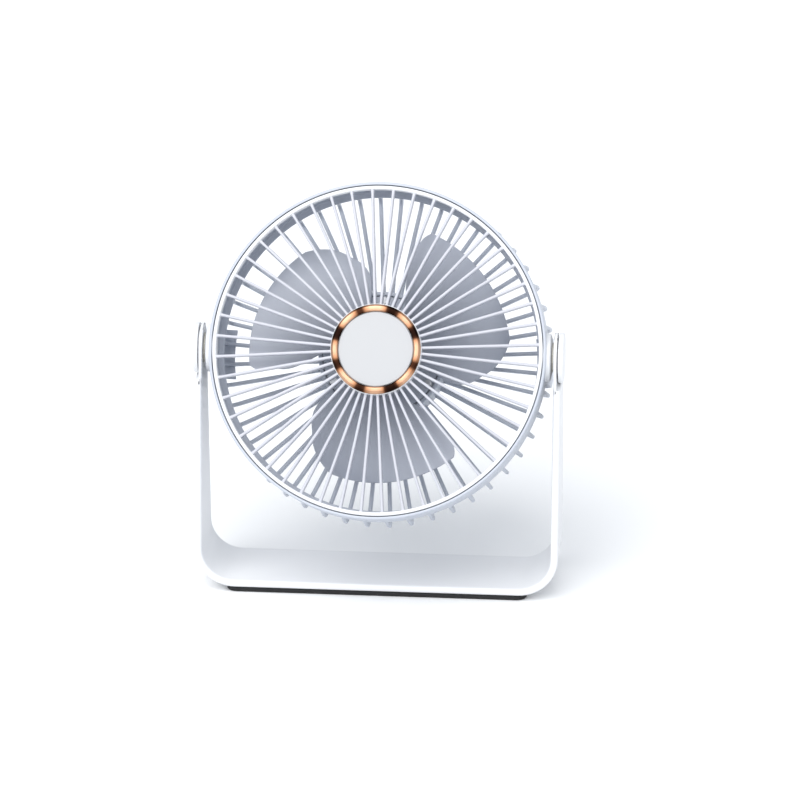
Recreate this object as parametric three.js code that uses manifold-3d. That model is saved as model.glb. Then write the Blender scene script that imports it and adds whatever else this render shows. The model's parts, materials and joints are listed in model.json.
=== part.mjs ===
// A desk fan: a round head with a ribbed grille front and back, held by two side pivots in a
// U-shaped stand. Millimetres, +Z up, the head's face towards -Y. The origin is the middle of
// the rubber pad's underside, on the table.
//
// The head is built in its own frame, with +Z along the fan's axis towards the face, +Y up and
// its origin on the pivot axis, and is then tipped back by restTilt.

import * as THREE from 'three';
import { mergeVertices } from 'three/addons/utils/BufferGeometryUtils.js';
import Module from 'manifold-3d';

// ---------------------------------------------------------------- driving dimensions

const fitGap = 0.3; // between two pieces that touch
const runGap = 1.2; // between a turning piece and a still one
const restTilt = 25; // degrees the face looks up at rest

// stand
const headClearance = 23; // between the base and the head's rear edge as it swings past
const bandThickness = 4.5;
const baseDepth = 54;
const standCornerRadius = 24;
const armEndRadius = 15;
const taperStart = 28; // height where the arms begin to narrow
const padThickness = 3.2;
const padEndInset = 19; // from the arm's outside to the end of the pad
const padSideInset = 2;

// head shell
const shellRadius = 101.2;
const shellWall = 2.6;
const shellFront = 16;
const shellRear = -15.5;
const shellFlange = 6.5;
const shellFlangeThickness = 2.2;
const cageDepth = 38; // how far the rear ribs reach behind the shell
const cageCornerRadius = 11;
const cageInset = 0.4; // of the rear ribs' roots from the shell's outside
const cageSwell = 2; // how far the rear ribs bow out past the shell
const ribCount = 48;
const rearRibThickness = 2.3;
const rearRibDepth = 6;
const sidePanelHeight = 30;
const sidePanelThickness = 2.4;

// front grille
const grilleRingWidth = 2.2;
const grilleRingDepth = 7;
const grooveWidth = 0.6; // the open line between the grille's ring and the shell
const frontRibThickness = 1.6;
const frontRibDepthAtRing = 5.6;
const frontRibDepthAtHub = 10.5;
const domeHeight = 9; // rise of the grille from its ring to its hub
const hubRadius = 27.3;
const hubDepth = 12;
const hubWall = 2;
const trimRingInset = 0.4; // from the hub's edge
const trimRingWidth = 4.2;
const trimRingHeight = 2.2;
const badgeThickness = 1.4;

// impeller and motor
const bladeCount = 3;
const bladeTipRadius = 78;
const bladeThickness = 1.6;
const bladeFront = 8;
const bladeDepth = 19; // at the root
const bladeSpread = 0.5; // how much deeper a blade is at its tip, as a share
const impellerHubRadius = 22;
const impellerHubWall = 1.6;
const impellerHubFront = 10;
const impellerHubLength = 23;
const rotorWall = 1.3;
const magnetThickness = 1.5;
const airGap = 0.5;
const shaftRadius = 1.5;
const bearingRadius = 4;
const bearingLength = 3;
const statorHeight = 8;
const statorPoles = 6;

// rear housing
const housingRadius = 38.4;
const housingWall = 2.4;
const housingFront = -19.5;
const mountThickness = 2.5;
const mountFloor = 1.8; // under the rear bearing
const coverThickness = 2;
const coverProud = 1.5;
const screwPostRadius = 3;
const screwRadius = 1.2;
const screwHeadRadius = 2.3;
const coverScrews = 4;
const mountScrews = 3;
const batteryHeight = 34;
const batteryThickness = 9.4;
const batteryGap = 2; // between the battery's corners and the screw posts
const boardThickness = 1.2;
const buttonRadius = 6;
const buttonTravel = 0.8;
const buttonProud = 1.4;
const socketSize = [8.9, 3.2];
const socketX = -14;
const buttonX = 10;
const lightRadius = 1.1;
const lightY = -15;

// pivots
const bossRadius = 14.5;
const bossReach = 2.7; // how far a boss stands off the shell
const spigotRadius = 5;
const boltRadius = 2.4;
const boltHeadRadius = 4.6;
const boltHeadHeight = 1.6;
const frictionWasherRadius = 9;
const frictionWasherThickness = 1;
const springWasherThickness = 0.7;
const springWasherRadius = 5.2;
const armSeatDepth = 2.6; // cut out of the arm for its end cap, so that a thin web is left
const capRadius = 15.2;
const capThickness = 3.4;
const capGroove = 0.8; // the open line between an end cap and its arm

// smoothness of round shapes
const ringSegments = 48; // vertices fall half-way between the ribs
const partSegments = 24;
const smallSegments = 12;

// ---------------------------------------------------------------- solids

const wasm = await Module();
wasm.setup();

// A closed geometry as a solid that can be joined and cut.
function solidOf(geometry) {
  const flat = geometry.index ? geometry.toNonIndexed() : geometry;
  const bare = new THREE.BufferGeometry();
  bare.setAttribute('position', flat.getAttribute('position').clone());
  const merged = mergeVertices(bare, 1e-4);
  const index = merged.index.array;
  const corners = [];
  for (let i = 0; i < index.length; i += 3) {
    const [a, b, c] = [index[i], index[i + 1], index[i + 2]];
    if (a !== b && b !== c && c !== a) corners.push(a, b, c);
  }
  return new wasm.Manifold(
    new wasm.Mesh({
      numProp: 3,
      vertProperties: merged.attributes.position.array,
      triVerts: new Uint32Array(corners),
    }),
  );
}

function geometryOf(solid) {
  const mesh = solid.getMesh();
  const geometry = new THREE.BufferGeometry();
  geometry.setAttribute('position', new THREE.BufferAttribute(mesh.vertProperties, 3));
  geometry.setIndex(new THREE.BufferAttribute(mesh.triVerts, 1));
  const faceted = geometry.toNonIndexed();
  faceted.computeVertexNormals();
  return faceted;
}

function join(...pieces) {
  return pieces.reduce((whole, piece) => whole.add(piece));
}

function cut(whole, ...tools) {
  return tools.reduce((left, tool) => left.subtract(tool), whole);
}

const radians = THREE.MathUtils.degToRad;

// A closed outline of [radius, z] points, listed so that the solid lies on their left,
// turned once round the Z axis, with its first vertex on the X axis.
function turned(outline, segments = partSegments) {
  const points = outline.map(([r, z]) => new THREE.Vector2(r, z));
  if (outline[0][0] > 0) points.push(points[0].clone());
  const geometry = new THREE.LatheGeometry(points, segments, Math.PI / 2);
  geometry.rotateX(Math.PI / 2);
  return solidOf(geometry);
}

// A ring, or a disc when inner is 0, between two heights.
function ring(inner, outer, low, high, segments) {
  return turned([[inner, low], [outer, low], [outer, high], [inner, high]], segments);
}

// The same ring lying along the X axis, between two distances from the middle.
function sideRing(inner, outer, near, far, segments = partSegments) {
  const solid = ring(inner, outer, near, far, segments);
  return solidOf(geometryOf(solid).rotateY(Math.PI / 2));
}

function box(x, y, z, at = [0, 0, 0]) {
  return solidOf(new THREE.BoxGeometry(x, y, z).translate(...at));
}

function turn(solid, degrees) {
  return solidOf(geometryOf(solid).rotateZ(radians(degrees)));
}

function move(solid, x, y, z) {
  return solidOf(geometryOf(solid).translate(x, y, z));
}

// A plate that stands on the Z axis: an outline of [radius, z] points, given a thickness and
// turned to an angle.
function radialPlate(outline, thickness, degrees) {
  const shape = new THREE.Shape(outline.map(([r, z]) => new THREE.Vector2(r, z)));
  const geometry = new THREE.ExtrudeGeometry(shape, { depth: thickness, bevelEnabled: false });
  geometry.translate(0, 0, -thickness / 2);
  geometry.rotateX(Math.PI / 2);
  geometry.rotateZ(radians(degrees));
  return solidOf(geometry);
}

// Points of a quarter or part circle, in a plane, from one angle to another.
function arc(x, y, radius, from, to, steps) {
  return Array.from({ length: steps + 1 }, (_, i) => {
    const angle = radians(from + ((to - from) * i) / steps);
    return [x + radius * Math.cos(angle), y + radius * Math.sin(angle)];
  });
}

// ---------------------------------------------------------------- the scene

const group = new THREE.Group();
const standGroup = new THREE.Group();
const headGroup = new THREE.Group();
const bandLow = padThickness + fitGap;
const bandTop = bandLow + bandThickness;
const swingRadius = Math.ceil(Math.hypot(shellRadius + cageSwell, cageDepth - shellRear));
const pivotHeight = bandTop + headClearance + swingRadius;
headGroup.position.set(0, 0, pivotHeight);
headGroup.rotation.x = radians(90 - restTilt);
group.add(standGroup, headGroup);

const white = { color: 0xf1f3f6, roughness: 0.42, metalness: 0 };
const slate = { color: 0xdde3ec, roughness: 0.45, metalness: 0 };
const badgeWhite = { color: 0xedeef0, roughness: 0.5, metalness: 0 };
const copper = { color: 0xd98e62, roughness: 0.18, metalness: 1 };
const rubber = { color: 0x101113, roughness: 0.85, metalness: 0 };
const steel = { color: 0xb4b7bb, roughness: 0.35, metalness: 1 };
const darkSteel = { color: 0x4c4e52, roughness: 0.5, metalness: 1 };
const winding = { color: 0xb5622f, roughness: 0.4, metalness: 1 };
const board = { color: 0x1f5a38, roughness: 0.6, metalness: 0 };
const wrap = { color: 0x3f6fa8, roughness: 0.5, metalness: 0 };
const nylon = { color: 0xd8d4c8, roughness: 0.6, metalness: 0 };
const lightPipe = { color: 0xe8f4ff, roughness: 0.25, metalness: 0 };

function place(parent, name, solid, look) {
  const mesh = new THREE.Mesh(geometryOf(solid), new THREE.MeshStandardMaterial(look));
  mesh.name = name;
  parent.add(mesh);
}

const sides = [
  { name: 'left', sign: -1 },
  { name: 'right', sign: 1 },
];

// Puts a piece made for the right-hand pivot at its side; half a turn round the Z axis of the
// head brings it to the left.
function placeSide(parent, name, solid, look, side, height = 0) {
  const geometry = geometryOf(solid);
  if (side.sign < 0) geometry.rotateZ(Math.PI);
  geometry.translate(0, 0, height);
  const mesh = new THREE.Mesh(geometry, new THREE.MeshStandardMaterial(look));
  mesh.name = name + '_' + side.name;
  parent.add(mesh);
}

// ---------------------------------------------------------------- stand

const bossFace = shellRadius + bossReach;
const armInner = bossFace + frictionWasherThickness + 2 * fitGap;
const standHalfWidth = armInner + bandThickness;
const armWebOuter = standHalfWidth - armSeatDepth;

// The band seen from the front: a U of even thickness, its arms running up past the pivots.
// Each arm steps in to a thin web where its end cap sits.
function bandOutline() {
  const top = pivotHeight + armEndRadius + fitGap;
  const outer = standHalfWidth;
  const r = standCornerRadius;
  const inside = r - bandThickness;
  const shape = new THREE.Shape();
  shape.moveTo(-outer, top);
  shape.lineTo(-outer, bandLow + r);
  shape.absarc(-outer + r, bandLow + r, r, Math.PI, 1.5 * Math.PI, false);
  shape.lineTo(outer - r, bandLow);
  shape.absarc(outer - r, bandLow + r, r, 1.5 * Math.PI, 2 * Math.PI, false);
  shape.lineTo(outer, top);
  shape.lineTo(armInner, top);
  shape.absarc(armInner - inside, bandTop + inside, inside, 0, -0.5 * Math.PI, true);
  shape.absarc(-armInner + inside, bandTop + inside, inside, -0.5 * Math.PI, -Math.PI, true);
  shape.lineTo(-armInner, top);
  return shape;
}

// The band seen from the side: as deep as the base below, narrowing to a round end.
function bandSide() {
  const shape = new THREE.Shape();
  const half = baseDepth / 2;
  shape.moveTo(-half, 0);
  shape.lineTo(half, 0);
  shape.lineTo(half, taperStart);
  shape.absarc(0, pivotHeight, armEndRadius, radians(6), radians(174), false);
  shape.lineTo(-half, taperStart);
  return shape;
}

function buildStand() {
  const front = new THREE.ExtrudeGeometry(bandOutline(), {
    depth: baseDepth,
    bevelEnabled: false,
    curveSegments: 8,
  });
  front.translate(0, 0, -baseDepth / 2);
  front.rotateX(Math.PI / 2);
  const width = 2 * standHalfWidth + 2;
  const side = new THREE.ExtrudeGeometry(bandSide(), {
    depth: width,
    bevelEnabled: false,
    curveSegments: 14,
  });
  side.translate(0, 0, -width / 2);
  side.rotateY(Math.PI / 2);
  side.rotateX(Math.PI / 2);
  let band = solidOf(front).intersect(solidOf(side));
  for (const { sign } of sides) {
    const across = (solid) => {
      const geometry = geometryOf(solid);
      if (sign < 0) geometry.rotateZ(Math.PI);
      return solidOf(geometry.translate(0, 0, pivotHeight));
    };
    const seatHalf = capRadius + fitGap;
    const seatMiddle = [armWebOuter + bandThickness / 2, 0, 0];
    const seat = box(bandThickness, baseDepth, 2 * seatHalf, seatMiddle);
    const hole = sideRing(0, boltRadius + 2 * fitGap, armInner - 1, standHalfWidth + 1, smallSegments);
    band = cut(band, across(seat), across(hole));
  }
  return band;
}

// A flat rubber pad with round corners, under the base.
function buildPad() {
  const corner = 5;
  const [x, y] = [standHalfWidth - padEndInset, baseDepth / 2 - padSideInset];
  const outline = [
    ...arc(x - corner, y - corner, corner, 0, 90, 4),
    ...arc(-x + corner, y - corner, corner, 90, 180, 4),
    ...arc(-x + corner, -y + corner, corner, 180, 270, 4),
    ...arc(x - corner, -y + corner, corner, 270, 360, 4),
  ];
  const shape = new THREE.Shape(outline.map(([px, py]) => new THREE.Vector2(px, py)));
  return solidOf(new THREE.ExtrudeGeometry(shape, { depth: padThickness, bevelEnabled: false }));
}

place(standGroup, 'u_stand', buildStand(), white);
place(standGroup, 'base_pad', buildPad(), rubber);

// ---------------------------------------------------------------- pivots

const frictionWasherNear = bossFace + fitGap;
const springWasherNear = armWebOuter + fitGap;
const boltHeadNear = springWasherNear + springWasherThickness + fitGap;
const boltHeadFar = boltHeadNear + boltHeadHeight;
const capNear = armWebOuter + capGroove;
const capFar = capNear + capThickness;
const boltTip = shellRadius - shellWall - 1;

// A shallow cap with a rounded rim, hollow over the bolt's head, with a locating ring inside.
function buildArmCap() {
  const round = 0.9;
  const hollow = boltHeadRadius + 2.2;
  const roof = boltHeadFar + fitGap;
  const locator = [hollow + 1.6, armWebOuter + fitGap];
  const outline = [
    [0, roof],
    [hollow, roof],
    [hollow, locator[1]],
    [locator[0], locator[1]],
    [locator[0], capNear],
    [capRadius, capNear],
    [capRadius, capFar - round],
    ...arc(capRadius - round, capFar - round, round, 30, 90, 2),
    [0, capFar],
  ];
  return solidOf(geometryOf(turned(outline)).rotateY(Math.PI / 2));
}

function buildPivotBoss() {
  const face = sideRing(0, bossRadius, shellRadius - 4, bossFace);
  const shellSpace = ring(0, shellRadius + fitGap, -bossRadius - 1, bossRadius + 1, ringSegments);
  const spigot = sideRing(0, spigotRadius, boltTip, bossFace - 0.5, smallSegments);
  const bore = sideRing(0, boltRadius + fitGap, boltTip - 1, bossFace + 1, smallSegments);
  return cut(join(cut(face, shellSpace), spigot), bore);
}

// A bolt with a domed head and a hexagon socket.
function buildPivotBolt() {
  const shank = sideRing(0, boltRadius, boltTip, boltHeadNear + 0.5, smallSegments);
  const head = sideRing(0, boltHeadRadius, boltHeadNear, boltHeadFar, smallSegments);
  const socket = sideRing(0, 1.6, boltHeadFar - 1, boltHeadFar + 1, 6);
  return cut(join(shank, head), socket);
}

function washer(radius, near, thickness) {
  return sideRing(boltRadius + fitGap, radius, near, near + thickness, smallSegments);
}

const frictionWasher = washer(frictionWasherRadius, frictionWasherNear, frictionWasherThickness);
const springWasher = washer(springWasherRadius, springWasherNear, springWasherThickness);

for (const side of sides) {
  placeSide(standGroup, 'arm_cap', buildArmCap(), white, side, pivotHeight);
  placeSide(standGroup, 'friction_washer', frictionWasher, nylon, side, pivotHeight);
  placeSide(headGroup, 'pivot_boss', buildPivotBoss(), white, side);
  placeSide(headGroup, 'pivot_bolt', buildPivotBolt(), steel, side);
  placeSide(headGroup, 'spring_washer', springWasher, steel, side);
}

// ---------------------------------------------------------------- rear shell

const shellInner = shellRadius - shellWall;
const grilleOuter = shellRadius - 1.6 - grooveWidth;
const grilleSeat = shellFront - grilleRingDepth - fitGap;
const flangeInner = shellRadius - shellFlange;
const cageRear = shellRear - cageDepth;
const cageRoot = shellRadius - cageInset;
const cageOuter = shellRadius + cageSwell;
const housingInner = housingRadius - housingWall;
const housingRear = cageRear - coverProud;

// The drum: a straight wall with a rounded front lip, a seat for the grille's ring inside and
// a flange at the back that carries the rear ribs.
function drumOutline() {
  return [
    [shellInner, shellRear + shellFlangeThickness],
    [flangeInner, shellRear + shellFlangeThickness],
    [flangeInner, shellRear],
    [shellRadius, shellRear],
    [shellRadius, shellFront - 0.8],
    [shellRadius - 0.8, shellFront],
    [grilleOuter + grooveWidth, shellFront],
    [grilleOuter + grooveWidth, grilleSeat],
    [shellInner, grilleSeat - 0.4],
  ];
}

// The cage's side at a depth under its skin, from the flange to the corner: it bows out as a
// quarter of a sine wave.
function cageSide(depth) {
  const [low, high] = [cageRear + cageCornerRadius, shellRear + 1];
  return [0, 0.4].map((share) => {
    const swell = (cageOuter - cageRoot) * Math.sin((share * Math.PI) / 2);
    return [cageRoot + swell - depth, high + (low - high) * share];
  });
}

// A rear rib leaves the flange, bows outwards, rounds the cage's corner and then runs in to the
// housing.
function rearRibOutline() {
  const r = cageCornerRadius;
  const inner = r - rearRibDepth;
  const back = cageRear;
  const root = housingRadius - housingWall / 2;
  return [
    [root, back + rearRibDepth],
    [root, back],
    ...arc(cageOuter - r, back + r, r, -90, 0, 3),
    ...cageSide(0).reverse(),
    ...cageSide(rearRibDepth),
    ...arc(cageOuter - r, back + r, inner, 0, -90, 1),
  ];
}

// A solid strip of the cage's side wall, where a pivot's load comes in.
function buildSidePanels() {
  const r = cageCornerRadius;
  const outline = [
    ...arc(cageOuter - r, cageRear + r, r, -90, 0, 3),
    ...cageSide(0).reverse(),
    ...cageSide(sidePanelThickness),
    ...arc(cageOuter - r, cageRear + r, r - sidePanelThickness, 0, -90, 3),
  ];
  const wall = turned(outline, ringSegments);
  return wall.intersect(box(3 * shellRadius, sidePanelHeight, 4 * cageDepth, [0, 0, cageRear]));
}

const postCircle = housingInner - screwPostRadius + 0.6;
const ledgeFront = housingFront - mountThickness - fitGap;
const ledgeThickness = 2.4;
const ledgeInner = housingInner - 6;
const coverFront = housingRear + coverThickness;

function buildHousing() {
  let housing = join(
    ring(housingInner, housingRadius, housingRear, housingFront, ringSegments),
    ring(ledgeInner, housingInner + 0.5, ledgeFront - ledgeThickness, ledgeFront, ringSegments),
  );
  for (let i = 0; i < coverScrews; i++) {
    const angle = radians(45 + (360 * i) / coverScrews);
    const at = [postCircle * Math.cos(angle), postCircle * Math.sin(angle)];
    const low = coverFront + fitGap;
    const post = ring(0, screwPostRadius, low, ledgeFront - 1, smallSegments);
    const hole = ring(0, screwRadius + fitGap, low - 1, low + 9, smallSegments);
    housing = cut(join(housing, move(post, ...at, 0)), move(hole, ...at, 0));
  }
  for (let i = 0; i < mountScrews; i++) {
    const angle = radians(90 + (360 * i) / mountScrews);
    const hole = ring(0, screwRadius + fitGap, ledgeFront - 5, ledgeFront + 1, smallSegments);
    const at = [mountScrewCircle * Math.cos(angle), mountScrewCircle * Math.sin(angle), 0];
    housing = cut(housing, move(hole, ...at));
  }
  return housing;
}

const mountScrewCircle = (ledgeInner + housingInner) / 2;

function ribAngle(i) {
  return ((i + 0.5) * 360) / ribCount;
}

function buildRearShell() {
  let shell = join(turned(drumOutline(), ringSegments), buildSidePanels());
  const outline = rearRibOutline();
  for (let i = 0; i < ribCount; i++) {
    shell = join(shell, radialPlate(outline, rearRibThickness, ribAngle(i)));
  }
  const spigotHole = sideRing(0, spigotRadius + fitGap, 0, shellRadius + 2, smallSegments);
  const left = turn(spigotHole, 180);
  return cut(join(shell, buildHousing()), spigotHole, left);
}

place(headGroup, 'rear_shell', buildRearShell(), slate);

// ---------------------------------------------------------------- front grille

const grilleInner = grilleOuter - grilleRingWidth;
const hubFront = shellFront + domeHeight;
const badgeSeat = hubFront;

// Height of a front rib's outer edge at a share of the way from the ring to the hub: a
// shallow dome, steeper near the ring than near the hub.
function domeAt(share) {
  return shellFront - 0.6 + domeHeight * (1.25 * share - 0.25 * share * share);
}

function frontRibOutline() {
  const steps = 3;
  const near = grilleInner + 0.6;
  const far = hubRadius - 0.8;
  const radiusAt = (share) => near + (far - near) * share;
  const top = [];
  for (let i = 0; i <= steps; i++) {
    const share = i / steps;
    top.push([radiusAt(share), domeAt(share) - 0.4 * share]);
  }
  return [
    ...top,
    [far, hubFront - frontRibDepthAtHub],
    [near, shellFront - 0.6 - frontRibDepthAtRing],
  ];
}

function buildFrontGrille() {
  const rim = turned(
    [
      [grilleInner, shellFront - grilleRingDepth],
      [grilleOuter, shellFront - grilleRingDepth],
      [grilleOuter, shellFront - 0.5],
      [grilleOuter - 0.5, shellFront],
      [grilleInner + 0.6, shellFront],
      [grilleInner, shellFront - 0.6],
    ],
    ringSegments,
  );
  const hub = turned(
    [
      [0, hubFront - hubWall],
      [hubRadius - hubWall, hubFront - hubWall],
      [hubRadius - hubWall, hubFront - hubDepth],
      [hubRadius, hubFront - hubDepth],
      [hubRadius, hubFront],
      [0, hubFront],
    ],
    ringSegments,
  );
  let grille = join(rim, hub);
  const outline = frontRibOutline();
  for (let i = 0; i < ribCount; i++) {
    grille = join(grille, radialPlate(outline, frontRibThickness, ribAngle(i)));
  }
  return grille;
}

place(headGroup, 'front_grille', buildFrontGrille(), white);

const trimRingOuter = hubRadius - trimRingInset;
const trimRingInner = trimRingOuter - trimRingWidth;
const trimLow = badgeSeat + fitGap;
const trimRing = turned(
  [
    [trimRingInner, trimLow],
    [trimRingOuter, trimLow],
    [trimRingOuter, trimLow + trimRingHeight - 0.7],
    [trimRingOuter - 0.7, trimLow + trimRingHeight],
    [trimRingInner + 0.7, trimLow + trimRingHeight],
    [trimRingInner, trimLow + trimRingHeight - 0.7],
  ],
);
place(headGroup, 'hub_trim_ring', trimRing, copper);
const badge = ring(0, trimRingInner - fitGap, trimLow, trimLow + badgeThickness);
place(headGroup, 'hub_badge', badge, badgeWhite);

// ---------------------------------------------------------------- impeller and motor

const impellerHubRear = impellerHubFront - impellerHubLength;
const rotorOuter = impellerHubRadius - impellerHubWall - fitGap;
const rotorInner = rotorOuter - rotorWall;
const rotorFront = impellerHubFront - impellerHubWall - fitGap;
const magnetOuter = rotorInner - fitGap;
const magnetInner = magnetOuter - magnetThickness;
const statorOuter = magnetInner - airGap;
const statorFront = rotorFront - rotorWall - 4;
const statorRear = statorFront - statorHeight;
const tubeOuter = bearingRadius + fitGap + 1.4;
const statorInner = tubeOuter + fitGap;
const boreRadius = shaftRadius + fitGap;
const nutHeight = 3.6;
const shaftFront = impellerHubFront + fitGap + nutHeight - 0.8;
const shaftRear = housingFront - mountThickness + 1.2;

// A blade is a sheet that leaves the hub along its wall. At a share of the way out, its width
// as an angle, its lean round the axis and its depth change smoothly. Its front edge stays at
// one height, so that it reaches further back as it gets deeper.
function bladeSheet(out, across, side) {
  const radius = impellerHubRadius - 1 + (bladeTipRadius - impellerHubRadius + 1) * out;
  const width = 62 + 30 * Math.sin(Math.PI * Math.min(out, 0.72)) - 26 * out ** 6;
  const lean = 16 * out * out;
  const angle = radians(lean + width * (across - 0.5));
  const depth = bladeDepth * (1 + bladeSpread * out);
  const camber = 2.4 * Math.sin(Math.PI * across);
  const middle = bladeFront - depth / 2;
  const z = middle + depth * (across - 0.5) * 0.9 + camber - 1.2 + (side * bladeThickness) / 2;
  return [radius * Math.cos(angle), radius * Math.sin(angle), z];
}

function buildBlade() {
  const [rows, columns] = [6, 7];
  const positions = [];
  const index = [];
  for (const side of [-1, 1]) {
    for (let i = 0; i <= rows; i++) {
      for (let j = 0; j <= columns; j++) {
        positions.push(...bladeSheet(i / rows, j / columns, side));
      }
    }
  }
  const at = (side, i, j) => (side * (rows + 1) + i) * (columns + 1) + j;
  const quad = (a, b, c, d) => index.push(a, b, c, a, c, d);
  for (let i = 0; i < rows; i++) {
    for (let j = 0; j < columns; j++) {
      quad(at(0, i, j), at(0, i, j + 1), at(0, i + 1, j + 1), at(0, i + 1, j));
      quad(at(1, i, j), at(1, i + 1, j), at(1, i + 1, j + 1), at(1, i, j + 1));
    }
  }
  for (let i = 0; i < rows; i++) {
    quad(at(0, i, 0), at(0, i + 1, 0), at(1, i + 1, 0), at(1, i, 0));
    quad(at(0, i + 1, columns), at(0, i, columns), at(1, i, columns), at(1, i + 1, columns));
  }
  for (let j = 0; j < columns; j++) {
    quad(at(0, 0, j + 1), at(0, 0, j), at(1, 0, j), at(1, 0, j + 1));
    quad(at(0, rows, j), at(0, rows, j + 1), at(1, rows, j + 1), at(1, rows, j));
  }
  const geometry = new THREE.BufferGeometry();
  geometry.setAttribute('position', new THREE.Float32BufferAttribute(positions, 3));
  geometry.setIndex(index);
  return solidOf(geometry);
}

function buildImpeller() {
  const wallInner = impellerHubRadius - impellerHubWall;
  const roof = impellerHubFront - impellerHubWall;
  const hub = turned(
    [
      [boreRadius, roof],
      [wallInner, roof],
      [wallInner, impellerHubRear],
      [impellerHubRadius, impellerHubRear],
      [impellerHubRadius, impellerHubFront - 2],
      [impellerHubRadius - 2, impellerHubFront],
      [boreRadius, impellerHubFront],
    ],
    ringSegments,
  );
  let impeller = hub;
  for (let i = 0; i < bladeCount; i++) {
    const angle = bladeStart + (360 * i) / bladeCount;
    impeller = join(impeller, cut(turn(buildBlade(), angle), hubSpace()));
  }
  return impeller;
}

const bladeStart = 22;

// The room inside the impeller's hub, kept free of the blades' roots.
function hubSpace() {
  const wall = impellerHubRadius - impellerHubWall / 2;
  return ring(0, wall, impellerHubRear - 5, impellerHubFront + 5, ringSegments);
}

place(headGroup, 'impeller', buildImpeller(), slate);

const rotorCup = turned([
  [boreRadius, rotorFront - rotorWall],
  [rotorInner, rotorFront - rotorWall],
  [rotorInner, impellerHubRear],
  [rotorOuter, impellerHubRear],
  [rotorOuter, rotorFront],
  [boreRadius, rotorFront],
]);
place(headGroup, 'rotor_cup', rotorCup, darkSteel);
const magnetFront = rotorFront - rotorWall - fitGap;
const magnets = ring(magnetInner, magnetOuter, impellerHubRear + 1, magnetFront);
place(headGroup, 'magnet_ring', magnets, darkSteel);
const shaft = ring(0, shaftRadius, shaftRear, shaftFront, smallSegments);
place(headGroup, 'motor_shaft', shaft, steel);
const nutLow = impellerHubFront + fitGap;
const nut = cut(
  ring(0, 4, nutLow, nutLow + nutHeight, 6),
  ring(0, boreRadius, nutLow - 1, shaftFront + fitGap, smallSegments),
);
place(headGroup, 'shaft_nut', nut, steel);

// Six wound poles round the bearing tube, each with a shoe that faces the magnets.
const yokeOuter = statorInner + 2;
const shoeInner = statorOuter - 1.8;
const poleWidth = 3;

function buildStatorCore() {
  let core = ring(shoeInner, statorOuter, statorRear, statorFront);
  for (let i = 0; i < statorPoles; i++) {
    const slot = box(10, 2.4, statorHeight + 2, [statorOuter, 0, (statorRear + statorFront) / 2]);
    core = cut(core, turn(slot, (360 * (i + 0.5)) / statorPoles));
  }
  core = join(core, ring(statorInner, yokeOuter, statorRear, statorFront));
  for (let i = 0; i < statorPoles; i++) {
    const length = shoeInner - yokeOuter + 2;
    const middle = [(shoeInner + yokeOuter) / 2, 0, (statorRear + statorFront) / 2];
    core = join(core, turn(box(length, poleWidth, statorHeight, middle), (360 * i) / statorPoles));
  }
  return core;
}

place(headGroup, 'stator_core', buildStatorCore(), darkSteel);

const coilWall = 1.1;
const coilInner = yokeOuter + 1.2;
const coilOuter = shoeInner - fitGap - 0.3;
for (let i = 0; i < statorPoles; i++) {
  const middle = [(coilInner + coilOuter) / 2, 0, (statorRear + statorFront) / 2];
  const hole = [poleWidth + 2 * fitGap, statorHeight + 2 * fitGap];
  const length = coilOuter - coilInner;
  const outside = box(length, hole[0] + 2 * coilWall, hole[1] + 2 * coilWall, middle);
  const coil = cut(outside, box(length + 2, hole[0], hole[1], middle));
  place(headGroup, 'stator_coil_' + (i + 1), turn(coil, (360 * i) / statorPoles), winding);
}

const tubeFront = statorFront + 1.5;
const mountRear = housingFront - mountThickness;
const frontBearingNear = tubeFront - bearingLength;
const rearBearingNear = mountRear + mountFloor + fitGap;

// A plate with a tube on it: the tube carries the stator outside and the bearings inside.
function buildMotorMount() {
  let mount = turned(
    [
      [bearingRadius + fitGap, mountRear + mountFloor - 0.2],
      [housingInner - fitGap, mountRear + mountFloor - 0.2],
      [housingInner - fitGap, housingFront],
      [tubeOuter + 2, housingFront],
      [tubeOuter + 2, statorRear - fitGap],
      [tubeOuter, statorRear - fitGap],
      [tubeOuter, tubeFront],
      [bearingRadius + fitGap, tubeFront],
    ],
  );
  const back = ring(shaftRadius + 0.6, housingInner - fitGap, mountRear, mountRear + mountFloor);
  mount = join(mount, back);
  for (let i = 0; i < mountScrews; i++) {
    const angle = radians(90 + (360 * i) / mountScrews);
    const hole = ring(0, screwRadius + fitGap, mountRear - 1, housingFront + 1, smallSegments);
    const at = [mountScrewCircle * Math.cos(angle), mountScrewCircle * Math.sin(angle), 0];
    mount = cut(mount, move(hole, ...at));
  }
  return mount;
}

place(headGroup, 'motor_mount', buildMotorMount(), slate);

function bearing(near) {
  return ring(boreRadius, bearingRadius, near, near + bearingLength, smallSegments);
}

place(headGroup, 'front_bearing', bearing(frontBearingNear), steel);
place(headGroup, 'rear_bearing', bearing(rearBearingNear), steel);

// The round board behind the stator, with the winding ends and the position sensor.
const motorBoardFront = statorRear - coilWall - 1.6;
const motorBoard = ring(
  tubeOuter + 2 + fitGap,
  rotorInner - runGap - 2,
  motorBoardFront - boardThickness,
  motorBoardFront,
);
place(headGroup, 'motor_board', motorBoard, board);

// A countersunk screw that points along +Z, its head's flat face at a height.
function screw(headFace, length, direction) {
  const tip = headFace + direction * length;
  const neck = headFace + direction * 1.5;
  const [low, high] = [Math.min(headFace, tip), Math.max(headFace, tip)];
  const shank = ring(0, screwRadius, low + 0.1, high - 0.1, smallSegments);
  const headLow = Math.min(headFace, neck);
  const head = ring(0, screwHeadRadius, headLow, headLow + 1.5, smallSegments);
  const slot = box(2.6, 0.7, 1.2, [0, 0, headFace]);
  return cut(join(shank, head), slot);
}

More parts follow.
